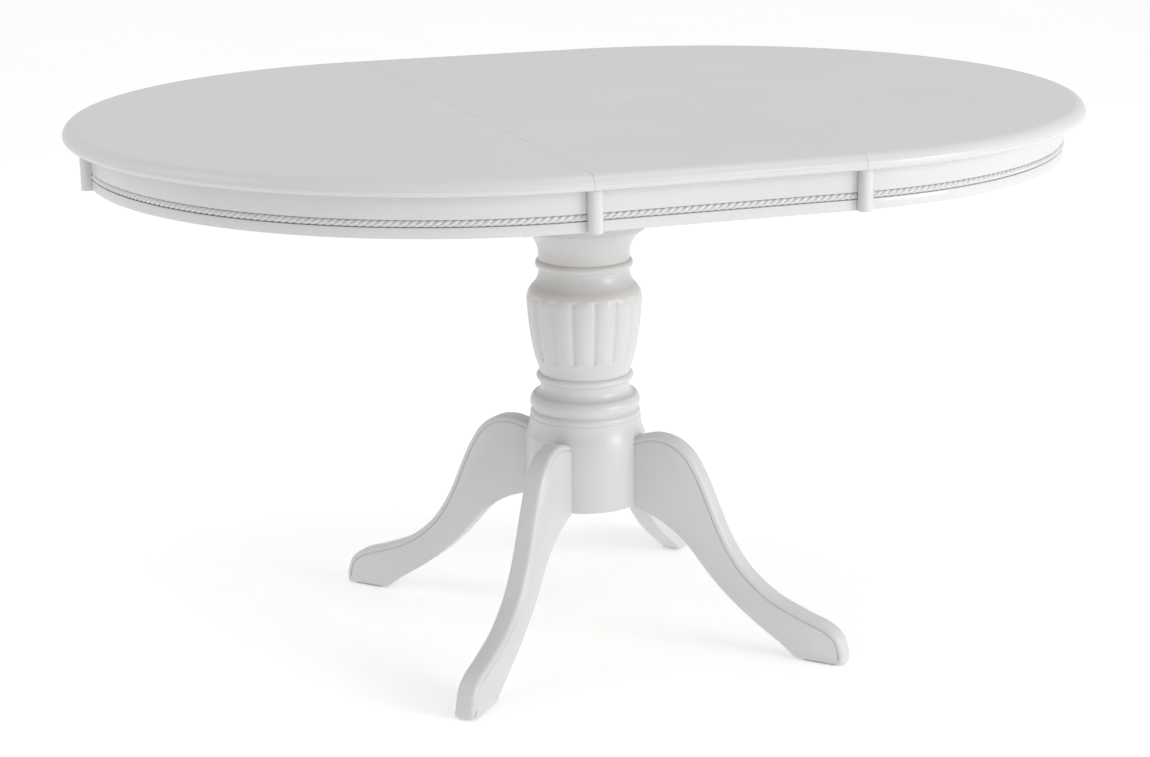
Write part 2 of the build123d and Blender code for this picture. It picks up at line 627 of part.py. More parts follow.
for word, front in (("front", True), ("rear", False)):
    sign = -1 if front else 1
    cup_spots = [Location((x, sign * (FOLD_GAP + HINGE_D / 2), UNDER_Z + TOP_T / 2), (90, 0, 0))
                 for x in HINGE_XS]
    plate_spots = [Location((x, sign * (APRON_IN - 15), UNDER_Z + HINGE_PLATE[2] / 2))
                   for x in HINGE_PLATE_XS]

    with BuildPart() as wing:
        add(straight(edge_profile(FOLD_GAP), front, 2 * WING_X))
        with Locations(*cup_spots):
            Cylinder(HINGE_R, HINGE_D, mode=Mode.SUBTRACT)
        with Locations(*plate_spots):
            Box(*HINGE_PLATE, mode=Mode.SUBTRACT)
    save(wing.part, f"{word}_wing")

    with BuildPart() as cups:
        with Locations(*cup_spots):
            Cylinder(HINGE_R, HINGE_D)
    save(cups.part, f"{word}_fold_hinges")

    with BuildPart() as apron_hinges:
        with Locations(*plate_spots):
            Box(*HINGE_PLATE)
    save(apron_hinges.part, f"{word}_apron_hinges")

    keep_x = sorted((sign * KEEPER_X[0], sign * KEEPER_X[1]))
    lip = sorted((sign * (LOCK_Y - 12), sign * (LOCK_Y + 7)))
    wall = sorted((sign * (LOCK_Y - 12), sign * (LOCK_Y - 9)))
    with BuildPart() as keeper:
        add(box_between((keep_x[0], lip[0], UNDER_Z - 2), (keep_x[1], lip[1], UNDER_Z)))
        add(box_between((keep_x[0], wall[0], LEVER_Z - 4), (keep_x[1], wall[1], UNDER_Z)))
        add(box_between((keep_x[0], lip[0], LEVER_Z - 4), (keep_x[1], lip[1], LEVER_Z - 1)))
    save(keeper.part, f"{word}_lock_keeper")

    with BuildPart() as board:
        add(straight(apron_profile(), front, 2 * WING_X))
        with Locations((0, 0, UNDER_Z)):
            Box(2 * SEAM, 3 * TOP_R, 2 * SKIRT_GAP, mode=Mode.SUBTRACT)
    save(board.part, f"{word}_leaf_apron")

    block_x = sign * (WING_X - BLOCK_W / 2)
    leaf_block = block(sign * 90, block_x, True)
    with BuildPart() as bead:
        add(straight(twist_profile(), front, 2 * WING_X))
        with Locations((block_x, sign * APRON_R, TWIST_Z)):
            Box(BLOCK_W + 0.2, 40, 30, mode=Mode.SUBTRACT)
    save(bead.part, f"{word}_leaf_twist")
    save(leaf_block, f"{word}_leaf_block")
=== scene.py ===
import math

import bmesh
import bpy
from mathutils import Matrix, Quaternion, Vector


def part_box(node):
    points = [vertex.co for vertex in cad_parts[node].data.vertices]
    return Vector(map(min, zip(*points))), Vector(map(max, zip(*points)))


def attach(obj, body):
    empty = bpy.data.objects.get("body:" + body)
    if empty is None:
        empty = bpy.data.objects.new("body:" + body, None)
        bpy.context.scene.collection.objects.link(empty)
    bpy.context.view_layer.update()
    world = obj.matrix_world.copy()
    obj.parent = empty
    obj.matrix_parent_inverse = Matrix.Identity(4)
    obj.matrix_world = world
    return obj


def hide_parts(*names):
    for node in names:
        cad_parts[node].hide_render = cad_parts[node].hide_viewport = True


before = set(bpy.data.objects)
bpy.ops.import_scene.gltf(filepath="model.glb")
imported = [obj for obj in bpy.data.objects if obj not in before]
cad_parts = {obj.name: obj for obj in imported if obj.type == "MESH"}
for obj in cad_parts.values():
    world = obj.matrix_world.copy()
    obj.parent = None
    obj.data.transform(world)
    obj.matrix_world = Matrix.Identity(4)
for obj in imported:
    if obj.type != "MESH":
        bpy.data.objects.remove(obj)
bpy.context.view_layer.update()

MM = 0.001
TAU = 2 * math.pi
MERGE, TINY = 2e-6, 1e-7                         # distances for welding and for lost edges


# --- sizes read from the frame --------------------------------------------------------
top_low, top_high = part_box("left_top")
wing_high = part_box("front_wing")[1]
apron_low, apron_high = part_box("left_apron")
column_low, column_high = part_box("column")

SEAM = -top_high[0]                              # |x| of the seams between halves and leaf
TOP_R = (top_high[1] - top_low[1]) / 2
TOP_LOW, TOP_HIGH = top_low[2], top_high[2]
WING_X = wing_high[0]
FOLD_GAP = -wing_high[1]
APRON_R = (apron_high[1] - apron_low[1]) / 2
APRON_T = 14 * MM
APRON_IN = APRON_R - APRON_T
APRON_LOW = apron_low[2]
BLOCK_W = 18 * MM
BLOCK_FIT = 0.1 * MM                             # air between a block and the moulding

TWIST_Z = APRON_LOW + 18 * MM
TWIST_R = 5.2 * MM
TWIST_FLAT = 0.87                                # height of the strands against their depth
GROOVE_DEEP = 4 * MM
TWIST_SEAT = APRON_R - GROOVE_DEEP
STRAND = 9.6 * MM                                # distance from strand to strand
GROOVE_HALF = 4.7 * MM


# --- mesh helpers ---------------------------------------------------------------------
def mesh_piece(name, verts, faces, sharp=35.0):
    """Mesh object in the shared frame, smooth except across edges sharper than the angle."""
    mesh = bpy.data.meshes.new(name)
    mesh.from_pydata([tuple(v) for v in verts], [], faces)
    work = bmesh.new()
    work.from_mesh(mesh)
    bmesh.ops.remove_doubles(work, verts=work.verts, dist=MERGE)
    bmesh.ops.dissolve_degenerate(work, edges=work.edges, dist=TINY)
    bmesh.ops.recalc_face_normals(work, faces=work.faces)
    work.to_mesh(mesh)
    work.free()
    mesh.shade_smooth()
    mesh.set_sharp_from_angle(angle=math.radians(sharp))
    obj = bpy.data.objects.new(name, mesh)
    bpy.context.scene.collection.objects.link(obj)
    return obj


def soften(obj, width, angle=40.0, segments=3):
    """Small rounded arris, as sanding and paint leave it."""
    bevel = obj.modifiers.new("arris", "BEVEL")
    bevel.width = width
    bevel.segments = segments
    bevel.limit_method = "ANGLE"
    bevel.angle_limit = math.radians(angle)
    bevel.harden_normals = True
    return obj


def sweep(name, stations, section, sharp=35.0):
    """Closed section carried through the stations, with a flat cap at each end."""
    count = len(section)
    verts = [place(r, z) for place in stations for r, z in section]
    faces = []
    for i in range(len(stations) - 1):
        for j in range(count):
            k = (j + 1) % count
            a, b = i * count, (i + 1) * count
            faces.append((a + j, a + k, b + k, b + j))
    faces.append(tuple(range(count)))
    faces.append(tuple(range(len(verts) - count, len(verts))))
    return mesh_piece(name, verts, faces, sharp)


def around(side, start=-90.0, end=90.0, steps=144):
    """Stations on one round half; 0 degrees is its outermost point."""
    made = []
    for i in range(steps + 1):
        a = math.radians(start + (end - start) * i / steps)
        c, s = side * math.cos(a), math.sin(a)
        made.append(lambda r, z, c=c, s=s: (side * SEAM + r * c, r * s, z))
    return made


def along(sign, x0, x1, steps=1):
    """Stations along X on the front (sign -1) or the rear (sign 1) of the leaf."""
    made = []
    for i in range(steps + 1):
        x = x0 + (x1 - x0) * i / steps
        made.append(lambda r, z, x=x: (x, sign * r, z))
    return made


def arc(start, mid, end, steps=10):
    """Points on the circle through three points, the first one left out."""
    (ax, ay), (bx, by), (cx, cy) = start, mid, end
    d = 2 * (ax * (by - cy) + bx * (cy - ay) + cx * (ay - by))
    aa, bb, cc = ax * ax + ay * ay, bx * bx + by * by, cx * cx + cy * cy
    ux = (aa * (by - cy) + bb * (cy - ay) + cc * (ay - by)) / d
    uy = (aa * (cx - bx) + bb * (ax - cx) + cc * (bx - ax)) / d
    r = math.hypot(ax - ux, ay - uy)
    t0, tm, t1 = (math.atan2(y - uy, x - ux) for x, y in (start, mid, end))
    turn = (t1 - t0) % TAU
    if (tm - t0) % TAU > turn:
        turn -= TAU
    angles = [t0 + turn * i / steps for i in range(1, steps + 1)]
    return [(ux + r * math.cos(t), uy + r * math.sin(t)) for t in angles]


def smooth_through(points, steps=8):
    """Catmull-Rom curve through the points."""
    first = [2 * a - b for a, b in zip(points[0], points[1])]
    last = [2 * a - b for a, b in zip(points[-1], points[-2])]
    run = [first, *points, last]
    made = [points[0]]
    for p0, p1, p2, p3 in zip(run, run[1:], run[2:], run[3:]):
        for i in range(1, steps + 1):
            t = i / steps
            made.append(tuple(
                0.5 * (2 * b + (c - a) * t + (2 * a - 5 * b + 4 * c - d) * t * t
                       + (3 * b - a - 3 * c + d) * t ** 3)
                for a, b, c, d in zip(p0, p1, p2, p3)))
    return made


# --- materials ------------------------------------------------------------------------
OBJECT_SHIFT = {"X": 3.1, "Y": 1.7, "Z": 2.3}    # how far the pattern moves between objects
MIX_FACTOR, MIX_A, MIX_B, MIX_RESULT = 0, 6, 7, 2    # colour sockets of the Mix node


class Nodes:
    """Small helper that builds a node material line by line."""

    def __init__(self, name):
        self.material = bpy.data.materials.new(name)
        self.material.use_nodes = True
        self.tree = self.material.node_tree
        self.shader = self.tree.nodes["Principled BSDF"]

    def add(self, kind, **values):
        node = self.tree.nodes.new(kind)
        for key, value in values.items():
            if hasattr(node, key):
                setattr(node, key, value)
            else:
                node.inputs[key.replace("_", " ")].default_value = value
        return node

    def link(self, source, target):
        self.tree.links.new(source, target)

    def coords(self, scale):
        """Coordinates in the shared frame, shifted a little for each object."""
        where = self.add("ShaderNodeTexCoord")
        info = self.add("ShaderNodeObjectInfo")
        shift = self.add("ShaderNodeVectorMath", operation="SCALE")
        one = self.add("ShaderNodeCombineXYZ", **OBJECT_SHIFT)
        self.link(one.outputs[0], shift.inputs[0])
        self.link(info.outputs["Random"], shift.inputs["Scale"])
        total = self.add("ShaderNodeVectorMath", operation="ADD")
        self.link(where.outputs["Object"], total.inputs[0])
        self.link(shift.outputs[0], total.inputs[1])
        stretch = self.add("ShaderNodeMapping")
        stretch.inputs["Scale"].default_value = scale
        self.link(total.outputs[0], stretch.inputs["Vector"])
        return stretch.outputs[0]

    def noise(self, vector, scale, detail=4.0, rough=0.55, distortion=0.0):
        node = self.add("ShaderNodeTexNoise", Scale=scale, Detail=detail, Roughness=rough,
                        Distortion=distortion)
        self.link(vector, node.inputs["Vector"])
        return node.outputs["Fac"]

    def ramp(self, value, stops):
        node = self.add("ShaderNodeValToRGB")
        band = node.color_ramp
        while len(band.elements) < len(stops):
            band.elements.new(0.5)
        for element, (place, colour) in zip(band.elements, stops):
            element.position = place
            element.color = (*colour, 1.0)
        self.link(value, node.inputs["Fac"])
        return node.outputs["Color"]

    def spread(self, value, low, high, start=0.0, end=1.0):
        node = self.add("ShaderNodeMapRange")
        node.inputs["From Min"].default_value = start
        node.inputs["From Max"].default_value = end
        node.inputs["To Min"].default_value = low
        node.inputs["To Max"].default_value = high
        self.link(value, node.inputs["Value"])
        return node.outputs["Result"]

    def mix(self, factor, a, b, blend="MIX"):
        node = self.add("ShaderNodeMix", data_type="RGBA", blend_type=blend)
        for index, value in ((MIX_FACTOR, factor), (MIX_A, a), (MIX_B, b)):
            socket = node.inputs[index]
            if hasattr(value, "is_linked"):
                self.link(value, socket)
            else:
                socket.default_value = value if isinstance(value, float) else (*value, 1.0)
        return node.outputs[MIX_RESULT]

    def bump(self, heights):
        """Chain of bumps: (height, distance, strength)."""
        normal = None
        for height, distance, strength in heights:
            node = self.add("ShaderNodeBump", Distance=distance, Strength=strength)
            self.link(height, node.inputs["Height"])
            if normal is not None:
                self.link(normal, node.inputs["Normal"])
            normal = node.outputs[0]
        self.link(normal, self.shader.inputs["Normal"])

    def finish(self, colour, roughness, **uniform):
        self.link(colour, self.shader.inputs["Base Color"])
        self.link(roughness, self.shader.inputs["Roughness"])
        for key, value in uniform.items():
            self.shader.inputs[key.replace("_", " ")].default_value = value
        return self.material


def lacquer(name, grain):
    """White satin lacquer sprayed over wood; grain telegraphs faintly through the paint."""
    n = Nodes(name)
    plain = n.coords((1.0, 1.0, 1.0))
    fibre = n.coords(grain)
    figure = n.noise(fibre, 9.0, 5.0, 0.6, 0.4)
    pores = n.noise(fibre, 46.0, 3.0, 0.7)
    peel = n.noise(plain, 900.0, 2.0, 0.5)
    cloud = n.noise(plain, 5.0, 3.0)
    colour = n.ramp(cloud, [(0.30, (0.602, 0.604, 0.605)), (0.70, (0.630, 0.632, 0.633))])
    speck = n.ramp(pores, [(0.30, (0.93, 0.93, 0.93)), (0.42, (1.0, 1.0, 1.0))])
    colour = n.mix(0.5, colour, speck, "MULTIPLY")
    # partly dust, partly painted shade: ambient occlusion darkens the lacquer in creases,
    # grooves and recesses
    hollow = n.add("ShaderNodeAmbientOcclusion", samples=8, Distance=0.008)
    dust_and_painted_shade = n.ramp(hollow.outputs["AO"], [(0.35, (0.88, 0.88, 0.88)), (0.8, (1.0, 1.0, 1.0))])
    colour = n.mix(0.35, colour, dust_and_painted_shade, "MULTIPLY")
    rough = n.spread(cloud, 0.34, 0.44)
    n.bump([(figure, 0.00025, 0.25), (pores, 0.0001, 0.25), (peel, 0.00002, 0.35)])
    return n.finish(colour, rough, Specular_IOR_Level=0.45, Coat_Weight=0.22,
                    Coat_Roughness=0.12)


def timber(name, grain, dark, light, pore):
    """Planed timber: growth figure, fine pores and handled roughness."""
    n = Nodes(name)
    fibre = n.coords(grain)
    plain = n.coords((1.0, 1.0, 1.0))
    warp = n.noise(fibre, 3.0, 3.0)
    figure = n.noise(fibre, 14.0, 6.0, 0.65, 1.2)
    pores = n.noise(fibre, 130.0, 2.0, 0.6)
    colour = n.ramp(figure, [(0.25, dark), (0.5, light), (0.8, dark)])
    tint = n.ramp(warp, [(0.3, (0.86, 0.84, 0.80)), (0.7, (1.0, 1.0, 1.0))])
    colour = n.mix(0.8, colour, tint, "MULTIPLY")
    flecks = n.ramp(pores, [(0.34, pore), (0.46, (1.0, 1.0, 1.0))])
    colour = n.mix(0.7, colour, flecks, "MULTIPLY")
    saw = n.noise(plain, 260.0, 2.0)
    rough = n.spread(figure, 0.46, 0.68)
    n.bump([(figure, 0.0004, 0.3), (pores, 0.0003, 0.4), (saw, 0.0001, 0.2)])
    return n.finish(colour, rough, Specular_IOR_Level=0.35)


def ply(name):
    """Birch plywood: long face figure, thin veneer layers through the thickness."""
    n = Nodes(name)
    fibre = n.coords((2.0, 16.0, 2.0))
    layers = n.coords((0.0, 0.0, 1.0))
    wave = n.add("ShaderNodeTexWave", wave_type="BANDS", bands_direction="Z", Scale=110.0,
                 Distortion=0.0, Detail=0.0)
    n.link(layers, wave.inputs["Vector"])
    figure = n.noise(fibre, 6.0, 5.0, 0.6, 0.6)
    face = n.ramp(figure, [(0.3, (0.52, 0.42, 0.30)), (0.7, (0.68, 0.57, 0.43))])
    veneer = n.ramp(wave.outputs["Fac"], [(0.35, (0.62, 0.55, 0.46)), (0.6, (1.0, 1.0, 1.0))])
    colour = n.mix(0.5, face, veneer, "MULTIPLY")
    rough = n.spread(figure, 0.5, 0.72)
    n.bump([(figure, 0.0003, 0.3), (wave.outputs["Fac"], 0.0001, 0.3)])
    return n.finish(colour, rough, Specular_IOR_Level=0.3)


def metal(name, tint, brush, rough_low, rough_high):
    """Plated or brushed metal with fine drawn lines, stains and worn spots."""
    n = Nodes(name)
    drawn = n.coords(brush)
    plain = n.coords((1.0, 1.0, 1.0))
    lines = n.noise(drawn, 240.0, 3.0, 0.6)
    spangle = n.noise(plain, 140.0, 3.0, 0.6)
    stain = n.noise(plain, 28.0, 4.0, 0.6)
    stained, crystal = (tuple(c * shade for c in tint) for shade in (0.72, 0.85))
    colour = n.mix(n.spread(stain, 0.0, 0.6, 0.45, 0.75), tint, stained)
    colour = n.mix(n.spread(spangle, 0.0, 0.3, 0.4, 0.7), colour, crystal)
    rough = n.spread(lines, rough_low, rough_high)
    n.bump([(lines, 0.00008, 0.35), (spangle, 0.00005, 0.25)])
    return n.finish(colour, rough, Metallic=1.0)


def plastic(name, tint, rough_low, rough_high):
    """Moulded plastic with a fine spark texture and slight flow marks."""
    n = Nodes(name)
    plain = n.coords((1.0, 1.0, 1.0))
    spark = n.noise(plain, 1500.0, 2.0)
    flow = n.noise(plain, 18.0, 3.0, 0.5, 0.8)
    deeper = tuple(c * 0.8 for c in tint)
    colour = n.mix(n.spread(flow, 0.0, 0.5, 0.35, 0.7), tint, deeper)
    rough = n.spread(flow, rough_low, rough_high)
    n.bump([(spark, 0.00005, 0.4), (flow, 0.0002, 0.1)])
    return n.finish(colour, rough, Specular_IOR_Level=0.45)


ALONG_X, ALONG_Y, ALONG_Z = (0.6, 14.0, 14.0), (14.0, 0.6, 14.0), (14.0, 14.0, 0.6)
LACQUER_X = lacquer("lacquer_along", ALONG_X)
LACQUER_Z = lacquer("lacquer_upright", ALONG_Z)
BEECH_PORE = (0.70, 0.60, 0.52)
BEECH_X = timber("beech_along", ALONG_X, (0.46, 0.34, 0.23), (0.62, 0.49, 0.36), BEECH_PORE)
BEECH_Y = timber("beech_across", ALONG_Y, (0.44, 0.33, 0.22), (0.60, 0.47, 0.35), BEECH_PORE)
PLYWOOD = ply("birch_plywood")
ZINC = metal("zinc_plate", (0.58, 0.59, 0.61), (1.0, 1.0, 1.0), 0.28, 0.42)
STRAP = metal("brushed_strap", (0.50, 0.51, 0.53), (4.0, 1.0, 1.0), 0.26, 0.44)
BRASS = metal("brushed_brass", (0.72, 0.53, 0.24), (1.0, 6.0, 1.0), 0.24, 0.40)
NYLON = plastic("black_nylon", (0.030, 0.031, 0.033), 0.42, 0.58)
GLIDE = plastic("glide_plastic", (0.42, 0.42, 0.42), 0.5, 0.66)


def dress(obj, material):
    """Give one object its material."""
    obj.data.materials.clear()
    obj.data.materials.append(material)
    return obj


def stand_in(obj, material, body, slot, *nodes):
    """Finish a modelled piece: material, body, and hiding the CAD nodes it stands in for;
    slot is not used.
    """
    dress(obj, material)
    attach(obj, body)
    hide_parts(*nodes)
    return obj


# --- tops -----------------------------------------------------------------------------
SEAM_ARRIS = 0.25 * MM
FOLD_ARRIS = {-1: 0.6 * MM, 1: 2.2 * MM}         # front and rear wing
PLATE_PROUD = 0.25 * MM                          # by which hinge plates stand out of a wing


def edge_section(inner, arris=0.0, relief=0.0):
    """Moulded edge of the top: bead below, fine step, then an ovolo up to the flat."""
    def at(dr, dz):
        return (TOP_R + dr * MM, TOP_LOW + dz * MM)

    under = TOP_LOW + relief
    points = [(inner + arris, TOP_HIGH), (inner, TOP_HIGH - arris), (inner, under)]
    if relief:
        points += [(APRON_IN - relief, under), (APRON_IN, TOP_LOW)]
    points.append(at(-6, 0))
    points += arc(at(-6, 0), at(-1.76, 1.76), at(0, 6), 8)
    points += [at(0, 7.1), at(-0.15, 7.4), at(-0.45, 7.6), at(-0.5, 8.1), at(-0.5, 9)]
    return points + arc(at(-0.5, 9), at(-6.5, 16.7), at(-17, 20), 12)


for word, side in (("left", -1), ("right", 1)):
    top = sweep(f"{word}_table_top", around(side), edge_section(0.0))
    soften(top, SEAM_ARRIS)
    stand_in(top, LACQUER_X, f"{word}_half", "white_lacquer", f"{word}_top")

for word, sign in (("front", -1), ("rear", 1)):
    section = edge_section(FOLD_GAP, FOLD_ARRIS[sign], PLATE_PROUD)
    wing = sweep(f"{word}_leaf_wing", along(sign, -WING_X, WING_X), section)
    soften(wing, SEAM_ARRIS)
    stand_in(wing, LACQUER_X, f"{word}_leaf", "white_lacquer", f"{word}_wing")


# --- aprons ---------------------------------------------------------------------------
def apron_section(height):
    """Apron board with eased lower edges and its groove for the twist moulding."""
    low, high = APRON_LOW, APRON_LOW + height
    out, back = APRON_R, APRON_IN
    ease, lip = 0.7 * MM, 0.35 * MM
    points = [(back, high), (back, low + ease), (back + ease, low), (out - 2 * ease, low)]
    points += arc((out - 2 * ease, low), (out - 0.6 * ease, low + 0.6 * ease),
                  (out, low + 2 * ease), 4)
    groove_low, groove_high = TWIST_Z - GROOVE_HALF, TWIST_Z + GROOVE_HALF
    points += [(out, groove_low - lip), (out - 0.3 * lip, groove_low - 0.3 * lip),
               (out - lip, groove_low), (TWIST_SEAT, groove_low)]
    points += [(TWIST_SEAT, groove_high), (out - lip, groove_high),
               (out - 0.3 * lip, groove_high + 0.3 * lip), (out, groove_high + lip)]
    return points + [(out, high)]


HALF_APRON_H = apron_high[2] - apron_low[2]
skirt_low, skirt_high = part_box("front_leaf_apron")
LEAF_APRON_H = skirt_high[2] - skirt_low[2]
for word, side in (("left", -1), ("right", 1)):
    band = sweep(f"{word}_curved_apron", around(side), apron_section(HALF_APRON_H))
    stand_in(band, LACQUER_X, f"{word}_half", "white_lacquer", f"{word}_apron")
for word, sign in (("front", -1), ("rear", 1)):
    board = along(sign, -WING_X, WING_X)
    band = sweep(f"{word}_straight_apron", board, apron_section(LEAF_APRON_H))
    stand_in(band, LACQUER_X, f"{word}_leaf_skirt", "white_lacquer", f"{word}_leaf_apron")


# --- carved twist moulding ------------------------------------------------------------
PER_STRAND, HALF_ROUND = 14, 16                  # mesh steps along a strand and across
CARVED, LEAN = 0.42, 1.3                         # depth against the radius, slant of strands
CROWN, FADE_OUT = 0.6, 0.5                       # roundness of a strand, loss at the edges
def twist_grid(place, length):
    """Half-round bead of twisted strands; place(s, out, up) puts a point at length s."""
    steps = round(length / STRAND * PER_STRAND)
    rows = []
    for i in range(steps + 1):
        s = length * i / steps
        row = []
        for j in range(HALF_ROUND + 1):
            phi = math.pi * (j / HALF_ROUND - 0.5)
            crown = abs(math.cos(math.pi * s / STRAND - LEAN * phi)) ** CROWN
            reach = TWIST_R * (1 - CARVED * math.cos(phi) ** FADE_OUT * (1 - crown))
            row.append(place(s, reach * math.cos(phi), reach * TWIST_FLAT * math.sin(phi)))
        rows.append(row)
    return rows


def twist_piece(name, runs, sharp=60.0):
    """One carved moulding made of several runs, each closed at the back and ends."""
    verts, faces = [], []
    for rows in runs:
        base, wide = len(verts), len(rows[0])
        verts += [p for row in rows for p in row]
        for i in range(len(rows) - 1):
            a, b = base + i * wide, base + (i + 1) * wide
            faces += [(a + j, a + j + 1, b + j + 1, b + j) for j in range(wide - 1)]
            faces.append((a + wide - 1, a, b, b + wide - 1))
        faces.append(tuple(range(base, base + wide)))
        faces.append(tuple(range(len(verts) - wide, len(verts))))
    return mesh_piece(name, verts, faces, sharp)


def twist_arc(side, start, end):
    """Moulding between two angles on a round half."""
    a0, a1 = math.radians(start), math.radians(end)

    def place(s, out, up):
        a = a0 + s / TWIST_SEAT
        r = TWIST_SEAT + out
        return (side * (SEAM + r * math.cos(a)), side * r * math.sin(a), TWIST_Z + up)

    return twist_grid(place, (a1 - a0) * TWIST_SEAT)


def twist_line(sign, x0, x1):
    """Moulding along the leaf's apron, run so that the strands lean as on the halves."""
    start, step = (x0, 1) if sign < 0 else (x1, -1)

    def place(s, out, up):
        return (start + step * s, sign * (TWIST_SEAT + out), TWIST_Z + up)

    return twist_grid(place, x1 - x0)


BLOCK_ANGLE = math.degrees((BLOCK_W / 2 + BLOCK_FIT) / APRON_R)
SEAM_ANGLE = math.degrees((BLOCK_W + 4 * BLOCK_FIT) / APRON_R)
for word, side in (("left", -1), ("right", 1)):
    edge = 90 - (SEAM_ANGLE if side > 0 else 0)
    runs = [twist_arc(side, -edge, -BLOCK_ANGLE), twist_arc(side, BLOCK_ANGLE, edge)]
    twist = twist_piece(f"{word}_carved_twist", runs)
    stand_in(twist, LACQUER_X, f"{word}_half", "white_lacquer", f"{word}_twist_moulding")
for word, sign in (("front", -1), ("rear", 1)):
    block = BLOCK_W + BLOCK_FIT
    x0, x1 = (-WING_X + block, WING_X) if sign < 0 else (-WING_X, WING_X - block)
    twist = twist_piece(f"{word}_carved_twist", [twist_line(sign, x0, x1)])
    stand_in(twist, LACQUER_X, f"{word}_leaf_skirt", "white_lacquer", f"{word}_leaf_twist")


# --- turned column --------------------------------------------------------------------
REEDS = 16
REED_DEEP = 5.2 * MM
REED_TURN = math.radians(13.4)                   # where the first valley lies
REED_LOW, REED_HIGH = 399 * MM, 493 * MM
REED_FADE = 5 * MM                               # run-out of the valleys at the lower end
REED_ROUND = 0.97                                # 1 is a full half circle for each stave
REED_STEPS = 16                                  # mesh steps across a stave


def column_profile():
    """(radius, height) of the turning from its foot to its neck, in millimetres."""
    base_z = column_low[2] / MM
    top_z = column_high[2] / MM
    points = [(46, base_z), (83.5, base_z), (84.6, base_z + 0.4), (85, base_z + 1.5)]
    points += [(85, 287)]
    points += arc((85, 287), (81, 298), (79, 311))
    points += [(79, 312.9), (78.8, 313.4), (78.2, 314.1), (78, 314.5)]
    points += arc((78, 314.5), (78.4, 319), (75.5, 323.5))
    points += [(74.7, 324.1), (74.6, 324.5)]
    points += arc((74.6, 324.5), (78.2, 335), (73, 346), 14)
    points += arc((73, 346), (65, 350.5), (63.2, 359))
    points += [(63.6, 362.5), (64.2, 365.5)]
    points += arc((64.2, 365.5), (69, 371.5), (64.2, 377.5), 12)
    vase = smooth_through([(64.2, 377.5), (65.4, 384), (71.4, 404), (76.4, 430), (79.6, 456),
                           (81.4, 481)], 14)
    points += vase[1:]
    points += arc((81.4, 481), (79.3, 494), (71.2, 505), 14)
    points += arc((71.2, 505), (65.7, 515), (63.8, 526.5))
    points += [(64.4, 527.5)]
    points += arc((64.4, 527.5), (68.8, 534), (64.4, 540.5), 12)
    points += [(64.2, 549)]
    points += arc((64.2, 549), (69.5, 567), (84, 582), 14)
    return points + [(86, 584), (86, top_z), (0, top_z)]


def reeded(radius, height, angle):
    """Radius with the reeds: convex staves between sharp valleys, closed off at both ends."""
    if not REED_LOW < height < REED_HIGH:
        return radius
    across = abs((((angle - REED_TURN) * REEDS / TAU) % 1.0) * 2 - 1)
    stave = 1 - math.sqrt(1 - (REED_ROUND * across) ** 2)
    ends = min((height - REED_LOW) / REED_FADE, (REED_HIGH - height) / (0.5 * REED_FADE), 1.0)
    return radius - REED_DEEP * stave * ends


def column_mesh(sharp=32.0):
    """The turning with its reeds, closed under its foot by a flat disc."""
    outline = [(r * MM, z * MM) for r, z in column_profile()]
    steps = REED_STEPS * REEDS
    verts = []
    for i in range(steps):
        a = TAU * i / steps
        for r, z in outline:
            w = reeded(r, z, a)
            verts.append((w * math.cos(a), w * math.sin(a), z))
    count = len(outline)
    faces = []
    for i in range(steps):
        a, b = i * count, ((i + 1) % steps) * count
        faces += [(a + j, b + j, b + j + 1, a + j + 1) for j in range(count - 1)]
    faces.append(tuple(i * count for i in range(steps)))
    return mesh_piece("turned_column", verts, faces, sharp)


stand_in(column_mesh(), LACQUER_Z, "pedestal", "white_lacquer", "column")


# --- legs -----------------------------------------------------------------------------
LEG_HALF = 15.0                                  # half thickness; this block is in mm
LEG_SPREAD = 46.5                                # degrees from the drawing direction
TOE_X, BALL_X, HEEL_X = 402.5, 398, 332          # ends of the flat under the foot
LEG_UPPER = [(83, 290), (98, 295), (118, 298), (143, 293), (166, 277), (185, 248), (200, 216),
             (215, 181), (233, 147), (258, 115), (296, 86), (341, 67), (375, 55), (394, 40),
             (TOE_X, 18)]
LEG_LOWER = [(326, 8), (306, 22), (268, 47), (234, 73), (208, 97), (188, 119), (168, 142),
             (147, 160), (118, 177), (83, 189)]
FOOT_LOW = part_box("foot_glides")[1][2] / MM


def inset_loop(outline, insets):
    """The outline moved inwards, mitred; its two ends stay on the face of the column."""
    made = []
    end_x = outline[0][0]
    for i, (x, y) in enumerate(outline):
        before = Vector((x, y)) - Vector(outline[max(i - 1, 0)])
        after = Vector(outline[min(i + 1, len(outline) - 1)]) - Vector((x, y))
        d1 = (before if before.length else after).normalized()
        d2 = (after if after.length else before).normalized()
        n1, n2 = Vector((d1.y, -d1.x)), Vector((d2.y, -d2.x))
        mitre = (n1 + n2) / max(0.35, 1 + n1.dot(n2)) * insets[i]
        if x == end_x:
            mitre -= d1 * (mitre.x / d1.x)
        made.append((x + mitre.x, y + mitre.y))
    return made


def rounded(r, low, steps=6):
    """Quarter round from the outer face to the flat side, as (inset, half thickness)."""
    return [(r * (1 - math.sin(t)), LEG_HALF - low - r * (1 - math.cos(t)))
            for t in (math.pi / 2 * (1 - k / steps) for k in range(steps + 1))]


WORKED_EDGE = rounded(6.6, 0.5) + [(7.1, 13.4), (7.8, 13.0), (8.3, 13.4), (9.2, 14.6),
                                   (10.0, LEG_HALF)]
PLAIN_EDGE = rounded(1.6, 0.0) + [(inset, LEG_HALF) for inset in (2.4, 3.2, 4.2, 5.2, 6.4)]


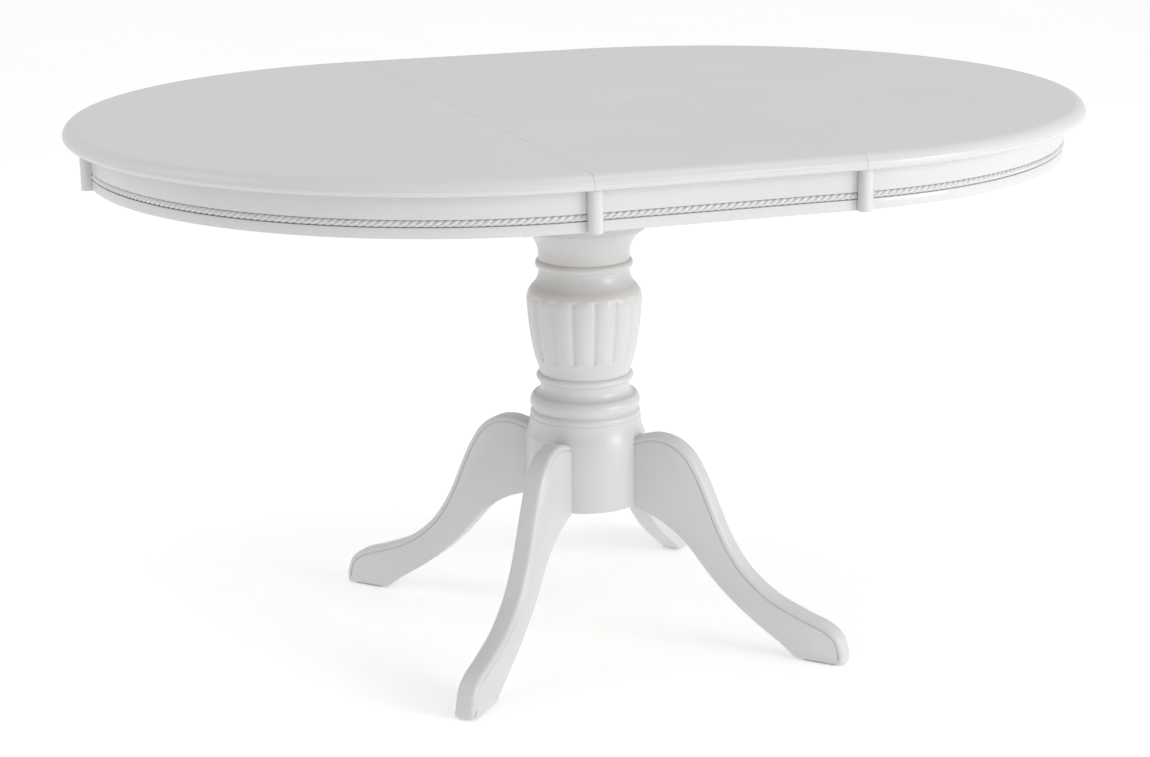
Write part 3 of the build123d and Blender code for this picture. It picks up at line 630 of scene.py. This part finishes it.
def leg_mesh(name, turn, sharp=38.0):
    """S-curved board leg; bead and quirk follow its upper edge, the lower edge is eased."""
    upper, lower = smooth_through(LEG_UPPER, 7), smooth_through(LEG_LOWER, 6)
    outline = upper + [(x, FOOT_LOW) for x in (TOE_X, BALL_X, HEEL_X)] + lower
    worked = [1.0] * (len(upper) + 1) + [0.0] * (len(lower) + 2)
    c, s = math.cos(turn), math.sin(turn)
    pairs = list(zip(WORKED_EDGE, PLAIN_EDGE))
    loops = [(pair, 1) for pair in reversed(pairs)] + [(pair, -1) for pair in pairs]
    verts = []
    for ((inset_w, half_w), (inset_p, half_p)), sign in loops:
        insets = [inset_w * w + inset_p * (1 - w) for w in worked]
        halves = [sign * (half_w * w + half_p * (1 - w)) for w in worked]
        for (x, z), half in zip(inset_loop(outline, insets), halves):
            verts.append(((x * c - half * s) * MM, (x * s + half * c) * MM, z * MM))
    count = len(outline)
    faces = [tuple(range(count))]
    for i in range(len(loops) - 1):
        a, b = i * count, (i + 1) * count
        for j in range(count):
            k = (j + 1) % count
            faces.append((a + j, a + k, b + k, b + j))
    faces.append(tuple(range(len(verts) - count, len(verts))))
    return mesh_piece(name, verts, faces, sharp)


LEG_TURNS = {"rear_right": LEG_SPREAD, "rear_left": 180 - LEG_SPREAD,
             "front_left": 180 + LEG_SPREAD, "front_right": 360 - LEG_SPREAD}
for name, turn in LEG_TURNS.items():
    leg = leg_mesh(f"{name}_carved_leg", math.radians(turn))
    stand_in(leg, LACQUER_Z, "pedestal", "white_lacquer", f"leg_{name}")


# --- CAD nodes that keep their shape ---------------------------------------------------
CARRIED = {
    LACQUER_Z: ["left_apron_blocks", "right_apron_blocks", "front_leaf_block",
                "rear_leaf_block"],
    BEECH_X: ["fixed_runner_front", "fixed_runner_rear", "left_runner_front",
              "left_runner_rear", "right_runner_front", "right_runner_rear", "riser_blocks"],
    BEECH_Y: ["bearer_left", "bearer_right", "left_glue_blocks", "right_glue_blocks"],
    PLYWOOD: ["top_plate", "base_cover"],
    ZINC: ["leg_bolts", "barrel_nuts", "plate_screws", "bearer_screws", "pivot_bolts",
           "pinion_bolts", "left_top_screws", "right_top_screws", "left_lock_pivot",
           "right_lock_pivot", "front_lock_keeper", "rear_lock_keeper"],
    STRAP: ["swing_arms_front", "swing_arms_rear", "wing_brackets", "left_lock_lever",
            "right_lock_lever"],
    BRASS: ["front_fold_hinges", "rear_fold_hinges", "front_apron_hinges",
            "rear_apron_hinges"],
    NYLON: ["pinion_front", "pinion_rear", "left_racks", "right_racks"],
    GLIDE: ["foot_glides"],
}
ARRIS = {LACQUER_Z: 1.0, BEECH_X: 0.8, BEECH_Y: 1.5, PLYWOOD: 0.8, STRAP: 0.5, GLIDE: 0.6}
ARRIS_ANGLE, ARRIS_STEPS = 50.0, 2
for material, names in CARRIED.items():
    for name in names:
        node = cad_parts[name]
        dress(node, material)
        if material in ARRIS:
            soften(node, ARRIS[material] * MM, ARRIS_ANGLE, ARRIS_STEPS)


# --- floor, light, camera -------------------------------------------------------------
FLOOR_REACH = 60.0
FLOOR_GLOW = 0.27
SKY_STRENGTH = 0.745


def floor_material():
    """Pale paper sweep that glows a little, so that it stays white far away."""
    n = Nodes("studio_floor")
    plain = n.coords((1.0, 1.0, 1.0))
    cloud = n.noise(plain, 2.0, 2.0)
    colour = n.ramp(cloud, [(0.3, (0.93, 0.93, 0.93)), (0.7, (0.94, 0.94, 0.94))])
    rough = n.spread(cloud, 0.85, 0.9)
    return n.finish(colour, rough, Specular_IOR_Level=0.0, Emission_Strength=FLOOR_GLOW,
                    Emission_Color=(1.0, 1.0, 1.0, 1.0))


corners = [(FLOOR_REACH * x, FLOOR_REACH * y, 0)
           for x, y in ((-1, -1), (1, -1), (1, 1), (-1, 1))]
floor = mesh_piece("studio_floor", corners, [(0, 1, 2, 3)])
dress(floor, floor_material())


def softbox(name, place, target, size, power):
    """Area light that looks at a point."""
    data = bpy.data.lights.new(name, "AREA")
    data.shape = "RECTANGLE"
    data.size, data.size_y = size
    data.energy = power
    lamp = bpy.data.objects.new(name, data)
    lamp.location = place
    aim = Vector(target) - Vector(place)
    lamp.rotation_euler = aim.to_track_quat("-Z", "Y").to_euler()
    bpy.context.scene.collection.objects.link(lamp)


softbox("key", (3.5, -3.7, 1.6), (0, 0, 0.5), (2.0, 2.0), 102.0)
softbox("spark", (1.8, -4.1, 2.2), (0, 0, 0.5), (0.22, 0.22), 7.0)
softbox("rear_left", (-2.6, 0.5, 2.5), (-0.5, 0, 0.7), (1.6, 1.6), 10.0)
softbox("overhead", (0.8, -0.65, 3.05), (0, 0, 0.76), (0.8, 0.8), 4.6)

world = bpy.data.worlds.new("studio")
world.use_nodes = True
sky = world.node_tree.nodes["Background"]
sky.inputs["Color"].default_value = (1.0, 1.0, 1.0, 1.0)
sky.inputs["Strength"].default_value = SKY_STRENGTH
bpy.context.scene.world = world
bpy.context.scene.view_settings.view_transform = "Standard"

AZIMUTH, ELEVATION, ROLL = math.radians(-19.43), math.radians(15.26), math.radians(-0.58)
DISTANCE = 3.4415
AIM_RIGHT, AIM_UP = -0.0141, 0.3645
LENS, SENSOR = 75.92, 36.0

level = math.cos(ELEVATION)
back = Vector((math.sin(AZIMUTH) * level, -math.cos(AZIMUTH) * level, math.sin(ELEVATION)))
right = (-back).cross(Vector((0, 0, 1))).normalized()
camera_data = bpy.data.cameras.new("camera")
camera_data.lens = LENS
camera_data.sensor_width = SENSOR
camera = bpy.data.objects.new("camera", camera_data)
camera.location = back * DISTANCE + right * AIM_RIGHT + Vector((0, 0, AIM_UP))
camera.rotation_mode = "QUATERNION"
camera.rotation_quaternion = (-back).to_track_quat("-Z", "Y") @ Quaternion((0, 0, 1), ROLL)
bpy.context.scene.collection.objects.link(camera)
bpy.context.scene.camera = camera
